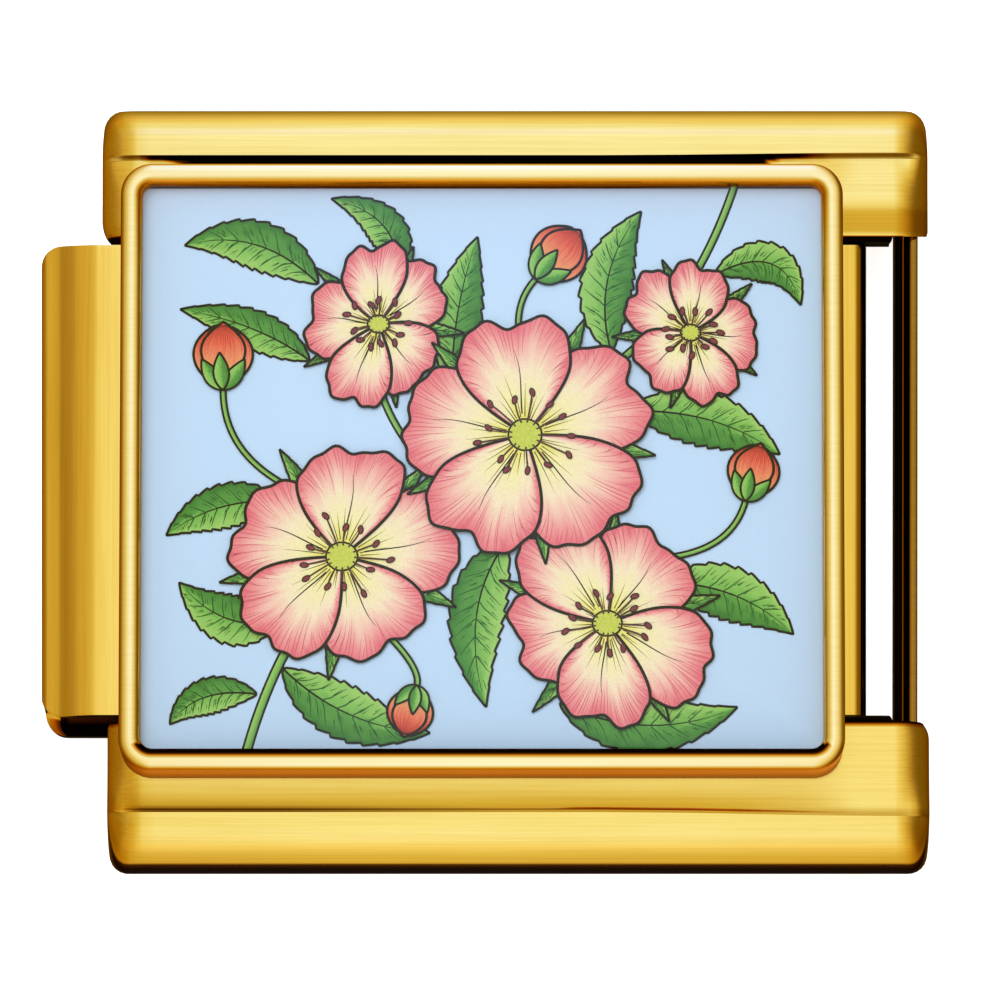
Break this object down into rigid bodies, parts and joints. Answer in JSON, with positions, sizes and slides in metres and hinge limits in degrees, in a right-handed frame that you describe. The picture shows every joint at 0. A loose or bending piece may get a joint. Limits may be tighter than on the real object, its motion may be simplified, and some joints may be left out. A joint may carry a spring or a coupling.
{
  "type": "modular charm bracelet link",
  "caption": "Flat oblong bracelet link of folded gold-plated sheet: rolled rails, a sprung hook at one end, a barred window at the other, and a domed floral face in a rimmed tray.",
  "frame": {"origin": "middle of the body's flat back face, which rests on the wrist", "axes": "+Z out of the face, +X along the bracelet towards the barred window, +Y across the bracelet towards the picture's top"},
  "size_m": [0.0104, 0.009, 0.0032],
  "materials": {
    "gold_body": "polished gold plate",
    "gold_hook": "polished gold plate",
    "spring_steel": "bare spring steel",
    "gold_tray": "polished gold plate",
    "printed_plate": "printed in colour on pale blue",
    "clear_epoxy": "clear, glossy, domed"
  },
  "bodies": {
    "link": {"link_body": "gold_body", "face_tray": "gold_tray", "print_insert": "printed_plate", "epoxy_dome": "clear_epoxy", "wave_spring": "spring_steel"},
    "hook": {"hook_sleeve": "gold_hook"}
  },
  "joints": [
    {"name": "hook_slide", "type": "slide", "parent": "link", "child": "hook", "axis": [-1, 0, 0], "range_m": [0, 0.0015], "stiffness_N_per_m": 100, "springref_m": -0.001, "deforming": ["wave_spring"]}
  ]
}
